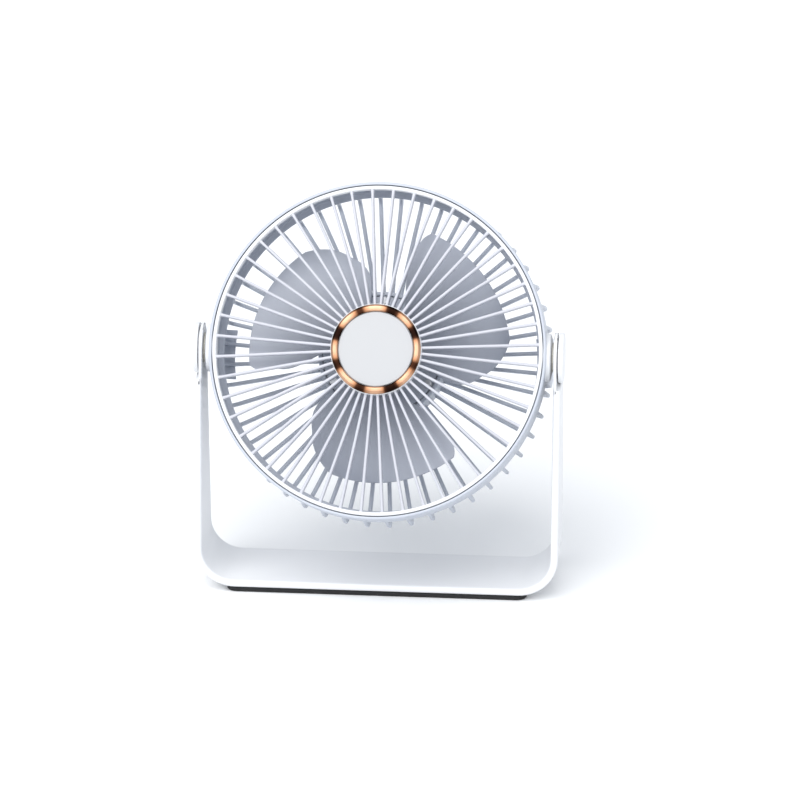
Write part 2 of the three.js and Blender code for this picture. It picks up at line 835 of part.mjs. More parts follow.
for (let i = 0; i < mountScrews; i++) {
  const angle = radians(90 + (360 * i) / mountScrews);
  const at = [mountScrewCircle * Math.cos(angle), mountScrewCircle * Math.sin(angle), 0];
  const piece = move(screw(housingFront + fitGap + 1.5, 7, -1), ...at);
  place(headGroup, 'mount_screw_' + (i + 1), piece, steel);
}

// ---------------------------------------------------------------- rear housing's contents

const batteryFront = ledgeFront - ledgeThickness - 0.6;
const batteryRear = batteryFront - batteryThickness;
const battery = new THREE.Shape();
const batteryCorner = 3;
const batteryReach = postCircle - screwPostRadius - batteryGap;
const batteryY = batteryHeight / 2;
const batteryX = Math.sqrt(batteryReach ** 2 - batteryY ** 2);
battery.absarc(batteryX - batteryCorner, batteryY - batteryCorner, batteryCorner, 0, Math.PI / 2);
battery.absarc(-batteryX + batteryCorner, batteryY - batteryCorner, batteryCorner, Math.PI / 2, Math.PI);
battery.absarc(-batteryX + batteryCorner, -batteryY + batteryCorner, batteryCorner, Math.PI, 1.5 * Math.PI);
battery.absarc(batteryX - batteryCorner, -batteryY + batteryCorner, batteryCorner, 1.5 * Math.PI, 2 * Math.PI);
const batteryBody = new THREE.ExtrudeGeometry(battery, {
  depth: batteryThickness,
  bevelEnabled: false,
  curveSegments: 4,
});
place(headGroup, 'battery_pack', solidOf(batteryBody.translate(0, 0, batteryRear)), wrap);

const boardRadius = postCircle - screwPostRadius - fitGap;
const boardFront = batteryRear - fitGap;
const boardRear = boardFront - boardThickness;
place(headGroup, 'control_board', ring(0, boardRadius, boardRear, boardFront), board);

// The charging socket: a flat-sided shell, hollow from behind, with its tongue inside.
function buildSocket() {
  const [width, height] = socketSize;
  const mouth = housingRear + 0.3;
  const far = boardRear - fitGap;
  const length = far - mouth;
  const rounded = (w, h, depth, z) => {
    const r = h / 2;
    const shape = new THREE.Shape();
    shape.absarc(w / 2 - r, 0, r, -Math.PI / 2, Math.PI / 2);
    shape.absarc(-w / 2 + r, 0, r, Math.PI / 2, 1.5 * Math.PI);
    const settings = { depth, bevelEnabled: false, curveSegments: 6 };
    return solidOf(new THREE.ExtrudeGeometry(shape, settings).translate(0, 0, z));
  };
  const outside = rounded(width, height, length, mouth);
  const inside = rounded(width - 0.7, height - 0.7, 6.2, mouth - 0.5);
  const tongue = box(width - 2.8, 0.7, 6.4, [0, 0, mouth + 3.7]);
  return move(join(cut(outside, inside), tongue), socketX, 0, 0);
}

place(headGroup, 'charging_socket', buildSocket(), steel);

const buttonRear = housingRear - buttonProud;
const flangeThickness = 1;
const buttonFlangeRear = coverFront + fitGap;
const buttonFront = buttonFlangeRear + flangeThickness;
const switchTop = buttonFront + buttonTravel + fitGap;
const button = turned([
  [0, buttonRear],
  [buttonRadius - 0.6, buttonRear],
  [buttonRadius, buttonRear + 0.6],
  [buttonRadius, buttonFlangeRear],
  [buttonRadius + 1, buttonFlangeRear],
  [buttonRadius + 1, buttonFront],
  [0, buttonFront],
]);
place(headGroup, 'power_button', move(button, buttonX, 0, 0), white);

const switchLength = boardRear - fitGap - switchTop;
const switchBody = join(
  box(6, 6, switchLength - 0.8, [0, 0, switchTop + 0.8 + (switchLength - 0.8) / 2]),
  ring(0, 1.7, switchTop, switchTop + 1.2, smallSegments),
);
place(headGroup, 'button_switch', move(switchBody, buttonX, 0, 0), rubber);

// The cover has a rim that laps the housing's inside, and openings for the button, the
// charging socket, the light and its four screws.
function buildRearCover() {
  const plate = ring(0, housingInner - fitGap, housingRear, coverFront);
  const tools = [
    move(ring(0, buttonRadius + fitGap, housingRear - 1, coverFront + 1), buttonX, 0, 0),
    box(socketSize[0] + 2 * fitGap, socketSize[1] + 2 * fitGap, 6, [socketX, 0, housingRear]),
    move(ring(0, lightRadius + fitGap, housingRear - 1, coverFront + 1, smallSegments), 0, lightY, 0),
  ];
  for (let i = 0; i < coverScrews; i++) {
    const angle = radians(45 + (360 * i) / coverScrews);
    const at = [postCircle * Math.cos(angle), postCircle * Math.sin(angle), 0];
    tools.push(move(ring(0, screwRadius + fitGap, housingRear - 1, coverFront + 1, smallSegments), ...at));
    tools.push(move(ring(0, screwHeadRadius + fitGap, housingRear - 1, housingRear + 1.2, smallSegments), ...at));
  }
  return cut(plate, ...tools);
}

place(headGroup, 'rear_cover', buildRearCover(), white);

for (let i = 0; i < coverScrews; i++) {
  const angle = radians(45 + (360 * i) / coverScrews);
  const at = [postCircle * Math.cos(angle), postCircle * Math.sin(angle), 0];
  const piece = move(screw(housingRear - 0.7, 9, 1), ...at);
  place(headGroup, 'cover_screw_' + (i + 1), piece, steel);
}

const light = ring(0, lightRadius, housingRear - 0.2, boardRear - fitGap, smallSegments);
place(headGroup, 'charge_light', move(light, 0, lightY, 0), lightPipe);

export default group;
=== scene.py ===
import json
import math

import bmesh
import bpy
import numpy as np
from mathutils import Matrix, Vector


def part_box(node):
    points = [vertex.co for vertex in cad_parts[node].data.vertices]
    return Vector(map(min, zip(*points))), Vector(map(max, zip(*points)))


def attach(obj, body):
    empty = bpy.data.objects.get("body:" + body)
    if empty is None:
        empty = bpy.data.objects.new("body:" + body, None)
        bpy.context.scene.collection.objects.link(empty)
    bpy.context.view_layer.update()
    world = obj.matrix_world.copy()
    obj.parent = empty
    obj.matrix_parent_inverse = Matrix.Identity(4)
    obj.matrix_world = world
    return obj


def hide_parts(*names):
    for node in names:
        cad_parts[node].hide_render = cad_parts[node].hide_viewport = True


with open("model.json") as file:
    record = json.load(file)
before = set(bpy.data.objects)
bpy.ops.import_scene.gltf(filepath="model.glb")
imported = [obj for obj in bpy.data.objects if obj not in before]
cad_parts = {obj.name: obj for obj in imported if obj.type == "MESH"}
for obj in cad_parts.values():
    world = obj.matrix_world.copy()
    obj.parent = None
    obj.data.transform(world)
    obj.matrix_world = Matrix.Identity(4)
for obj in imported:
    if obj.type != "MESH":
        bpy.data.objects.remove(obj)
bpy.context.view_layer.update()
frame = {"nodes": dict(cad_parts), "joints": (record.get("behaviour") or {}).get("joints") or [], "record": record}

# Places in the head are given as (to the right, up, towards the face), from the pivot axis.
joints = {joint["name"]: joint for joint in frame["joints"]}
pivot = np.array(joints["head_tilt"]["pos_m"])
faceAxis = np.array(joints["fan_spin"]["axis"])
faceAxis = faceAxis / np.linalg.norm(faceAxis)
sideAxis = np.array([1.0, 0.0, 0.0])
upAxis = np.cross(faceAxis, sideAxis)
print("frame loaded")


def headToWorld(points):
    # turns head places into the object's own frame
    right, up, front = points[..., :1], points[..., 1:2], points[..., 2:3]
    return pivot + right * sideAxis + up * upAxis + front * faceAxis


def meshValues(items, name, width, kind=np.float32):
    # what a mesh's points, edges or attribute hold, as rows of this width
    values = np.empty(len(items) * width, kind)
    items.foreach_get(name, values)
    return values.reshape(-1, width)


def nodePoints(node):
    # every vertex of a CAD node, as rows of x, y, z
    return meshValues(frame["nodes"][node].data.vertices, "co", 3).astype(float)


def headSpan(node):
    # lowest and highest place of a CAD node along the fan's axis, and its largest radius
    local = nodePoints(node) - pivot
    front = local @ faceAxis
    radius = np.hypot(local @ sideAxis, local @ upAxis)
    return front.min(), front.max(), radius.max()


# grids and meshes


def gridFaces(rows, columns, wrapRows, wrapColumns):
    # the four corners of every cell of a grid whose points are numbered row by row
    i = np.arange(rows if wrapRows else rows - 1)[:, None]
    j = np.arange(columns if wrapColumns else columns - 1)[None, :]
    nextRow, nextColumn = (i + 1) % rows, (j + 1) % columns
    cell = (i, j), (i, nextColumn), (nextRow, nextColumn), (nextRow, j)
    corners = [row * columns + column for row, column in cell]
    return np.stack(np.broadcast_arrays(*corners), -1).reshape(-1, 4)


def grid(points, wrapRows=False, wrapColumns=False):
    # points is rows by columns by 3, or copies by rows by columns by 3
    if points.ndim == 3:
        points = points[None]
    copies, rows, columns, _ = points.shape
    faces = gridFaces(rows, columns, wrapRows, wrapColumns)
    offsets = np.arange(copies)[:, None, None] * rows * columns
    return points.reshape(-1, 3), (faces[None] + offsets).reshape(-1, 4)


def closedSheet(front, back):
    # two grids of the same shape, face to face, and a strip that joins their rims
    if front.ndim == 3:
        front, back = front[None], back[None]
    copies, rows, columns, _ = front.shape
    size = rows * columns
    faces = gridFaces(rows, columns, False, False)
    index = np.arange(size).reshape(rows, columns)
    rim = np.concatenate([index[0, :-1], index[:-1, -1], index[-1, :0:-1], index[:0:-1, 0]])
    nextRim = np.roll(rim, -1)
    strip = np.stack([rim, rim + size, nextRim + size, nextRim], -1)
    one = np.concatenate([faces, faces[:, ::-1] + size, strip])
    points = np.stack([front.reshape(copies, size, 3), back.reshape(copies, size, 3)], 1)
    offsets = np.arange(copies)[:, None, None] * 2 * size
    return points.reshape(-1, 3), (one[None] + offsets).reshape(-1, 4)


meshing = {
    "weldGap": 1e-6,  # points closer than this become one
    "shortestEdge": 1e-7,
    "sharpAngle": 35,  # edges that turn by more than this stay crisp
}


def linked(name, data):
    # an object at the origin that shows this mesh, light or camera
    made = bpy.data.objects.new(name, data)
    bpy.context.scene.collection.objects.link(made)
    return made


def joinedMesh(name, parts, dissolve=True):
    # joins (points, faces) pairs into one mesh with closed poles and outward faces
    points = np.concatenate([part[0] for part in parts])
    starts = np.cumsum([0] + [len(part[0]) for part in parts[:-1]])
    faces = np.concatenate([part[1] + start for part, start in zip(parts, starts)])
    data = bpy.data.meshes.new(name)
    data.from_pydata(points.tolist(), [], faces.tolist())
    work = bmesh.new()
    work.from_mesh(data)
    bmesh.ops.remove_doubles(work, verts=work.verts, dist=meshing["weldGap"])
    if dissolve:
        bmesh.ops.dissolve_degenerate(work, edges=work.edges, dist=meshing["shortestEdge"])
    bmesh.ops.recalc_face_normals(work, faces=work.faces)
    work.to_mesh(data)
    work.free()
    return data


def smoothed(data):
    # smooth shading that breaks at the sharp edges
    data.shade_smooth()
    data.set_sharp_from_angle(angle=math.radians(meshing["sharpAngle"]))


def makePiece(name, parts, body, node):
    # one piece that rides on a body and stands for a CAD node
    data = joinedMesh(name, parts)
    smoothed(data)
    piece = linked(name, data)
    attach(piece, body)
    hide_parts(node)
    return piece


def cutAway(piece, parts):
    # takes the closed bodies in parts away from a piece and keeps the result as its mesh
    cutter = linked("cutter", joinedMesh("cutter", parts, dissolve=False))
    boolean = piece.modifiers.new("cut", "BOOLEAN")
    boolean.operation, boolean.solver, boolean.object = "DIFFERENCE", "EXACT", cutter
    bpy.context.view_layer.update()
    result = bpy.data.meshes.new_from_object(piece.evaluated_get(bpy.context.evaluated_depsgraph_get()))
    piece.modifiers.clear()
    old, piece.data = piece.data, result
    spent = cutter.data
    bpy.data.meshes.remove(old)
    bpy.data.objects.remove(cutter)
    bpy.data.meshes.remove(spent)
    smoothed(result)


def bevelled(piece, width, segments=3, angle=30):
    # rounds every edge that turns by more than the angle, in degrees
    bevel = piece.modifiers.new("edges", "BEVEL")
    bevel.width, bevel.segments = width, segments
    bevel.limit_method, bevel.angle_limit = "ANGLE", math.radians(angle)


def filleted(corners, steps=5):
    # a closed outline of (a, b, radius) corners, each corner the arc that touches both its sides
    outline = []
    for k, (a, b, radius) in enumerate(corners):
        here = np.array([a, b])
        if radius == 0:
            outline.append(here[None])
            continue
        before = np.array(corners[k - 1][:2]) - here
        after = np.array(corners[(k + 1) % len(corners)][:2]) - here
        before, after = before / np.linalg.norm(before), after / np.linalg.norm(after)
        half = 0.5 * math.acos(np.clip(before @ after, -1, 1))
        middle = (before + after) / np.linalg.norm(before + after)
        centre = here + middle * radius / math.sin(half)
        start = here + before * radius / math.tan(half) - centre
        end = here + after * radius / math.tan(half) - centre
        first = math.atan2(start[1], start[0])
        sweep = (math.atan2(end[1], end[0]) - first + math.pi) % (2 * math.pi) - math.pi
        angles = first + sweep * np.linspace(0, 1, steps + 1)
        outline.append(centre + radius * np.stack([np.cos(angles), np.sin(angles)], -1))
    return np.concatenate(outline)


def circled(outline, segments):
    # (radius, height) points carried once round a circle: two places across and the height
    angle = 2 * np.pi * np.arange(segments)[:, None] / segments
    radius, height = outline[None, :, 0], outline[None, :, 1]
    return np.stack(np.broadcast_arrays(radius * np.cos(angle), radius * np.sin(angle), height), -1)


def turned(outline, segments=192, right=0.0, up=0.0):
    # (radius, height) points carried once round the fan's axis, or a line beside it
    points = circled(outline, segments) + np.array([right, up, 0.0])
    return grid(headToWorld(points), wrapRows=True, wrapColumns=True)


def roundBar(right, up, halfLong, halfWide, low, high, turn=0.0, steps=8):
    # a bar with round ends along the fan's axis: its outline, two half circles joined by straight
    # sides, carried from low to high and closed on its own middle
    half = np.linspace(-np.pi / 2, np.pi / 2, steps)
    angle = np.concatenate([half, half + np.pi])
    reach = halfLong - halfWide
    x = np.where(np.arange(2 * steps) < steps, reach, -reach) + halfWide * np.cos(angle)
    y = halfWide * np.sin(angle)
    shares = np.array([0.0, 1.0, 1.0, 0.0])[:, None]
    across = shares * (x * math.cos(turn) - y * math.sin(turn)) + right
    along = shares * (x * math.sin(turn) + y * math.cos(turn)) + up
    heights = np.array([low, low, high, high])[:, None]
    return grid(headToWorld(np.stack(np.broadcast_arrays(across, along, heights), -1)), wrapColumns=True)


def turnedSide(outline, sign, segments=96):
    # (radius, distance from the middle) points carried once round the pivot axis, on one side
    points = np.roll(circled(outline, segments), 1, axis=-1) * np.array([sign, 1, 1])
    return grid(pivot + points, wrapRows=True, wrapColumns=True)


def roundedSections(halfLong, halfWide, radius, steps=3):
    # for each station, a rectangle with round corners: two half sizes and a corner radius
    quarter = np.linspace(0, np.pi / 2, steps + 1)
    angle = (quarter + np.arange(4)[:, None] * np.pi / 2).ravel()
    signLong = np.repeat([1, -1, -1, 1], steps + 1)
    signWide = np.repeat([1, 1, -1, -1], steps + 1)
    halfLong, halfWide, radius = (np.atleast_1d(value)[:, None] for value in (halfLong, halfWide, radius))
    long = signLong * (halfLong - radius) + radius * np.cos(angle)
    wide = signWide * (halfWide - radius) + radius * np.sin(angle)
    return long, wide


def plateRibs(outer, inner, thickness, roundness, angles):
    # a plate that stands on the fan's axis, between two curves of (radius, height), with round
    # edges and closed ends, copied to each angle
    middle, half = (outer + inner) / 2, (outer - inner) / 2
    length = np.linalg.norm(half, axis=1)
    direction = half / length[:, None]
    long, wide = roundedSections(length, thickness / 2, np.minimum(roundness, thickness * 0.49))
    radius = middle[:, :1] + long * direction[:, :1]
    height = middle[:, 1:] + long * direction[:, 1:]
    body = np.stack([radius, wide, height], -1)
    ends = [np.repeat(body[k : k + 1].mean(1, keepdims=True), body.shape[1], 1) for k in (0, -1)]
    body = np.concatenate([ends[0], body, ends[1]])
    turn = np.radians(angles)[:, None, None]
    right = body[..., 0] * np.cos(turn) - body[..., 1] * np.sin(turn)
    up = body[..., 0] * np.sin(turn) + body[..., 1] * np.cos(turn)
    points = np.stack(np.broadcast_arrays(right, up, body[..., 2]), -1)
    return grid(headToWorld(points), wrapColumns=True)


# shader nodes


class Shade:
    # a shader socket that can be used in plain arithmetic: each step adds one Math node
    def __init__(self, tree, socket=None):
        self.tree = tree
        self.socket = socket

    def node(self, kind, settings, inputs, output=0):
        # adds one node: its settings first, then the values or links of its sockets
        made = self.tree.nodes.new(kind)
        for key, value in settings.items():
            if key == "stops":
                ramp = made.color_ramp.elements
                while len(ramp) < len(value):
                    ramp.new(1)
                for stop, (place, colour) in zip(ramp, value):
                    stop.position, stop.color = place, colour
            else:
                setattr(made, key, value)
        for key, value in inputs.items():
            if isinstance(value, Shade):
                self.tree.links.new(value.socket, made.inputs[key])
            else:
                made.inputs[key].default_value = value
        return Shade(self.tree, made.outputs[output])

    def maths(self, operation, first, second=0.0):
        # one Math node on two values
        return self.node("ShaderNodeMath", {"operation": operation}, {0: first, 1: second})

    def __add__(self, other):
        return self.maths("ADD", self, other)

    def __radd__(self, other):
        return self.maths("ADD", other, self)

    def __sub__(self, other):
        return self.maths("SUBTRACT", self, other)

    def __rsub__(self, other):
        return self.maths("SUBTRACT", other, self)

    def __mul__(self, other):
        return self.maths("MULTIPLY", self, other)

    def __rmul__(self, other):
        return self.maths("MULTIPLY", other, self)


def newMaterial(name):
    # an empty material with its Principled shader, and a Shade that builds nodes in it
    material = bpy.data.materials.new(name)
    material.use_nodes = True
    tree = material.node_tree
    shader = tree.nodes["Principled BSDF"]
    return material, Shade(tree), shader


def feed(shade, shader, **inputs):
    # joins what varies over the surface to the shader, and sets what doesn't
    names = {"colour": "Base Color", "roughness": "Roughness", "normal": "Normal", "metallic": "Metallic"}
    for key, value in inputs.items():
        socket = shader.inputs[names[key]]
        if isinstance(value, Shade):
            shade.tree.links.new(value.socket, socket)
        else:
            socket.default_value = value


def objectPlace(shade):
    # the place on the object, in metres
    return shade.node("ShaderNodeTexCoord", {}, {}, output="Object")


def noise(shade, place, scale, detail=3.0, roughness=0.5):
    # a random value from 0 to 1 that changes about scale times a metre
    settings = {"noise_dimensions": "3D"}
    inputs = {"Vector": place, "Scale": scale, "Detail": detail, "Roughness": roughness}
    return shade.node("ShaderNodeTexNoise", settings, inputs)


def mixColour(shade, factor, first, second):
    # the first colour where the factor is 0, the second where it is 1
    settings = {"data_type": "RGBA", "clamp_factor": True}
    return shade.node("ShaderNodeMix", settings, {0: factor, 6: first, 7: second}, output=2)


def bump(shade, height, distance, strength=1.0):
    # a normal that leans as if the surface rose by distance where height is 1
    inputs = {"Height": height, "Distance": distance, "Strength": strength}
    return shade.node("ShaderNodeBump", {}, inputs)


def upward(shade):
    # 1 on what faces straight up, 0 on what faces sideways or down
    normal = shade.node("ShaderNodeNewGeometry", {}, {}, output="Normal")
    up = shade.node("ShaderNodeSeparateXYZ", {}, {0: normal}, output=2)
    return shade.maths("MAXIMUM", up, 0.0)


def satinPlastic(name, colour, shadeColour, roughness=0.38, coat=0.12):
    # moulded plastic: slow colour drift, fine mould grain, and a breath of dust on what faces up
    material, shade, shader = newMaterial(name)
    place = objectPlace(shade)
    drift = noise(shade, place, 9.0, 2.0)
    patches = noise(shade, place, 55.0, 4.0, 0.6)
    grain = noise(shade, place, 2600.0, 2.0, 0.6)
    dust = upward(shade) * patches
    base = mixColour(shade, (drift - 0.35) * 1.4, colour, shadeColour)
    base = mixColour(shade, dust * 0.16, base, (0.80, 0.79, 0.77, 1))
    rough = roughness - 0.05 + patches * 0.1 + dust * 0.08
    feed(shade, shader, colour=base, roughness=rough, normal=bump(shade, grain, 0.00002, 0.5))
    for socket, value in (("Coat Weight", coat), ("Coat Roughness", 0.22), ("IOR", 1.5)):
        shader.inputs[socket].default_value = value
    return material


def copperWithPaintedReflections(name):
    # rose-gold plating, spun when it was polished: its grain runs round the ring; eight lobes of
    # bright and dark copper painted round it in the base colour are painted reflections
    material, shade, shader = newMaterial(name)
    place = objectPlace(shade)
    tilt = math.atan2(-faceAxis[1], faceAxis[2])
    settings = {"vector_type": "TEXTURE"}
    inputs = {"Vector": place, "Location": tuple(pivot), "Rotation": (tilt, 0, 0)}
    local = shade.node("ShaderNodeMapping", settings, inputs)
    x = shade.node("ShaderNodeSeparateXYZ", {}, {0: local}, output=0)
    y = shade.node("ShaderNodeSeparateXYZ", {}, {0: local}, output=1)
    angle = shade.maths("ARCTAN2", y, x)
    radius = shade.maths("SQRT", x * x + y * y)
    # painted reflections: the colour goes bright and dark eight times round the ring, by angle
    paintedReflectionLobes = shade.maths("COSINE", angle * 8.0 - 0.2) * 0.5 + 0.5
    paintedReflectionUneven = shade.maths("COSINE", angle * 3.0 + 0.7) * 0.16
    paintedReflectionAmount = shade.maths("SMOOTH_MIN", paintedReflectionLobes + paintedReflectionUneven, 1.0)
    # painted reflections: the near-black stops paint the dark reflections between the copper lobes
    stops = [
        (0.0, (0.014, 0.006, 0.004, 1)),
        (0.2, (0.05, 0.019, 0.010, 1)),
        (0.42, (0.40, 0.19, 0.10, 1)),
        (0.9, (0.66, 0.39, 0.25, 1)),
    ]
    base = shade.node("ShaderNodeValToRGB", {"stops": stops}, {0: paintedReflectionAmount})
    rings = noise(shade, shade.node("ShaderNodeCombineXYZ", {}, {0: radius * 9000.0}), 1.0, 1.0)
    rough = rings * 0.1 + 0.26
    feed(shade, shader, colour=base, roughness=rough, metallic=1.0, normal=bump(shade, rings, 0.000001))
    return material


def blackRubber(name):
    # near-black, dull, with a fine rough grain and patches that are a little more worn
    material, shade, shader = newMaterial(name)
    place = objectPlace(shade)
    grain = noise(shade, place, 1500.0, 3.0, 0.7)
    patches = noise(shade, place, 40.0, 3.0)
    base = mixColour(shade, patches, (0.010, 0.010, 0.011, 1), (0.022, 0.022, 0.023, 1))
    feed(shade, shader, colour=base, roughness=0.7 + patches * 0.2, normal=bump(shade, grain, 0.00005))
    return material


def machinedSteel(name, colour, darkColour, roughness):
    # metal with fine lines along one direction and a little staining
    material, shade, shader = newMaterial(name)
    place = objectPlace(shade)
    stretched = shade.node("ShaderNodeMapping", {}, {"Vector": place, "Scale": (400.0, 6000.0, 400.0)})
    lines = noise(shade, stretched, 1.0, 2.0)
    stain = noise(shade, place, 180.0, 4.0, 0.6)
    base = mixColour(shade, stain, colour, darkColour)
    rough = roughness + lines * 0.12
    feed(shade, shader, colour=base, roughness=rough, metallic=1.0, normal=bump(shade, lines, 0.00001))
    return material


def woundWire(name):
    # enamelled wire: closely spaced turns as a fine wave
    material, shade, shader = newMaterial(name)
    place = objectPlace(shade)
    wave = shade.node(
        "ShaderNodeTexWave", {"wave_type": "BANDS", "bands_direction": "DIAGONAL"},
        {"Vector": place, "Scale": 420.0, "Distortion": 0.4}, output="Fac",
    )
    base = mixColour(shade, wave, (0.26, 0.07, 0.02, 1), (0.78, 0.36, 0.15, 1))
    feed(shade, shader, colour=base, roughness=0.3, metallic=1.0, normal=bump(shade, wave, 0.0001))
    return material


def circuitBoard(name):
    # solder mask with copper tracks showing through as paler bands
    material, shade, shader = newMaterial(name)
    place = objectPlace(shade)
    tracks = shade.node(
        "ShaderNodeTexBrick", {"offset": 0.37},
        {"Vector": place, "Scale": 160.0, "Mortar Size": 0.06, "Brick Width": 0.9, "Row Height": 0.21},
        output="Fac",
    )
    patches = noise(shade, place, 300.0, 3.0)
    base = mixColour(shade, tracks, (0.006, 0.075, 0.030, 1), (0.03, 0.20, 0.08, 1))
    rough = 0.3 + patches * 0.15
    feed(shade, shader, colour=base, roughness=rough, normal=bump(shade, tracks, 0.00003))
    return material


def shrinkFilm(name):
    # blue heat-shrink film with soft folds
    material, shade, shader = newMaterial(name)
    place = objectPlace(shade)
    folds = noise(shade, place, 120.0, 5.0, 0.6)
    base = mixColour(shade, folds, (0.02, 0.10, 0.32, 1), (0.05, 0.19, 0.50, 1))
    feed(shade, shader, colour=base, roughness=0.24 + folds * 0.2, normal=bump(shade, folds, 0.0002, 0.6))
    return material


def lightPipe(name):
    # a frosted clear rod that lets some light through
    material, shade, shader = newMaterial(name)
    frost = noise(shade, objectPlace(shade), 900.0, 3.0)
    base = mixColour(shade, frost, (0.78, 0.88, 0.97, 1), (0.9, 0.95, 1.0, 1))
    feed(shade, shader, colour=base, roughness=0.15 + frost * 0.25)
    shader.inputs["Transmission Weight"].default_value = 0.35
    return material


# each plastic has its colour, the colour it drifts to, and where needed its roughness and coat;
# the pale, badge, rib and blade plastics are the white plastic darkened as painted shade
plastics = {
    "whitePlastic": ((0.83, 0.835, 0.85, 1), (0.79, 0.797, 0.82, 1)),
    # painted shade: the white plastic darkened and cooled for the drum and cage
    "palePlastic": ((0.54, 0.572, 0.64, 1), (0.49, 0.525, 0.595, 1), 0.42, 0.08),
    # painted shade: the white plastic darkened for the badge
    "badgePlastic": ((0.53, 0.533, 0.545, 1), (0.51, 0.513, 0.53, 1), 0.5, 0.0),
    # painted shade: the white plastic darkened for the grille's ribs
    "ribPlastic": ((0.60, 0.607, 0.66, 1), (0.56, 0.567, 0.62, 1)),
    # painted shade: the white plastic darkened further for the blades and their hub
    "bladePlastic": ((0.475, 0.50, 0.565, 1), (0.435, 0.46, 0.52, 1), 0.42, 0.08),
    "naturalNylon": ((0.66, 0.64, 0.57, 1), (0.58, 0.56, 0.50, 1), 0.5, 0.0),
}
moulded = {name: satinPlastic(name, *values) for name, values in plastics.items()}
finishes = {
    "white_plastic": moulded["whitePlastic"],
    # the pale, badge, rib and blade finishes are painted shade: darker copies of the white plastic
    "pale_plastic": moulded["palePlastic"],
    "badge_plastic": moulded["badgePlastic"],
    "rib_plastic": moulded["ribPlastic"],
    "blade_plastic": moulded["bladePlastic"],
    "nylon": moulded["naturalNylon"],
    "copper_trim": copperWithPaintedReflections("copperTrim"),
    "black_rubber": blackRubber("blackRubber"),
    "steel": machinedSteel("zincSteel", (0.62, 0.63, 0.65, 1), (0.48, 0.49, 0.51, 1), 0.26),
    "dark_steel": machinedSteel("darkSteel", (0.12, 0.12, 0.13, 1), (0.07, 0.07, 0.08, 1), 0.42),
    "copper_wire": woundWire("copperWire"),
    "circuit_board": circuitBoard("circuitBoard"),
    "battery_wrap": shrinkFilm("batteryWrap"),
    "light_pipe": lightPipe("lightPipe"),
}
nodeSlots = {part["node"]: part["material_slot"] for part in frame["record"]["subparts"]}
for nodeName, nodeObject in frame["nodes"].items():
    nodeObject.data.materials.clear()
    nodeObject.data.materials.append(finishes[nodeSlots[nodeName]])
print("finishes made")


def dress(piece, slot, finish=None):
    # the slot's own finish, or a named copy of it darkened as painted shade
    piece.data.materials.clear()
    piece.data.materials.append(finishes[finish or slot])


# the stand


standLow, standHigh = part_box("u_stand")
band = {
    "thickness": 0.0045,
    "cornerRadius": 0.024,
    "endRadius": 0.015,
    "endBend": 74,  # degrees of the arm's end round which its rows follow
    "taperStart": 0.028,
    "webThickness": 0.0019,
    "seatDrop": 0.0155,  # how far below the pivot the thin web starts
    "edgeRound": 0.0019,
    "webEdgeShare": 0.3,  # of edgeRound, where the web is thin
    "columns": 13,
}


def bandLine(size):
    # the middle of the band seen from the front, from the left arm's pivot down, across and up:
    # the place of each point, its outward direction and its height
    half = standHigh.x - size["thickness"] / 2
    low = standLow.z + size["thickness"] / 2
    radius = size["cornerRadius"] - size["thickness"] / 2
    step = pivot[2] - size["seatDrop"]
    armRows = np.concatenate([
        np.linspace(pivot[2], step, 6)[:-1], [step, step - 2e-5], np.linspace(step, low + radius, 26)[1:],
    ])
    turn = np.linspace(0, np.pi / 2, 17)[1:]
    left = np.stack([np.full_like(armRows, -half), armRows], -1)
    leftOut = np.stack([np.full_like(armRows, -1.0), np.zeros_like(armRows)], -1)
    cornerCentre = np.array([-half + radius, low + radius])
    cornerOut = np.stack([-np.cos(turn), -np.sin(turn)], -1)
    corner = cornerCentre + radius * cornerOut
    across = np.linspace(-half + radius, 0, 20)[1:]
    base = np.stack([across, np.full_like(across, low)], -1)
    baseOut = np.stack([np.zeros_like(across), np.full_like(across, -1.0)], -1)
    line = np.concatenate([left, corner, base])
    out = np.concatenate([leftOut, cornerOut, baseOut])
    mirror = np.array([-1.0, 1.0])
    return np.concatenate([line, line[-2::-1] * mirror]), np.concatenate([out, out[-2::-1] * mirror])


def bandHalfDepth(height, size):
    # half the band's depth at a height: the base's below, the pivot end's above
    full = standHigh.y
    share = np.clip((pivot[2] - height) / (pivot[2] - size["taperStart"]), 0, 1)
    return size["endRadius"] + (full - size["endRadius"]) * share


def armEnd(size, steps=14):
    # the round end above the pivot, as rows that bend from straight to the end's own arc
    share = np.linspace(0, 1, steps)[1:, None]
    across = np.linspace(-1, 1, size["columns"])[None, :]
    angle = share * math.radians(size["endBend"])
    radius = size["endRadius"]
    y = across * radius * np.cos(angle)
    rim = radius * np.sin(angle)
    z = rim + (np.sqrt(radius**2 - y**2) - rim) * share**2
    return y, z


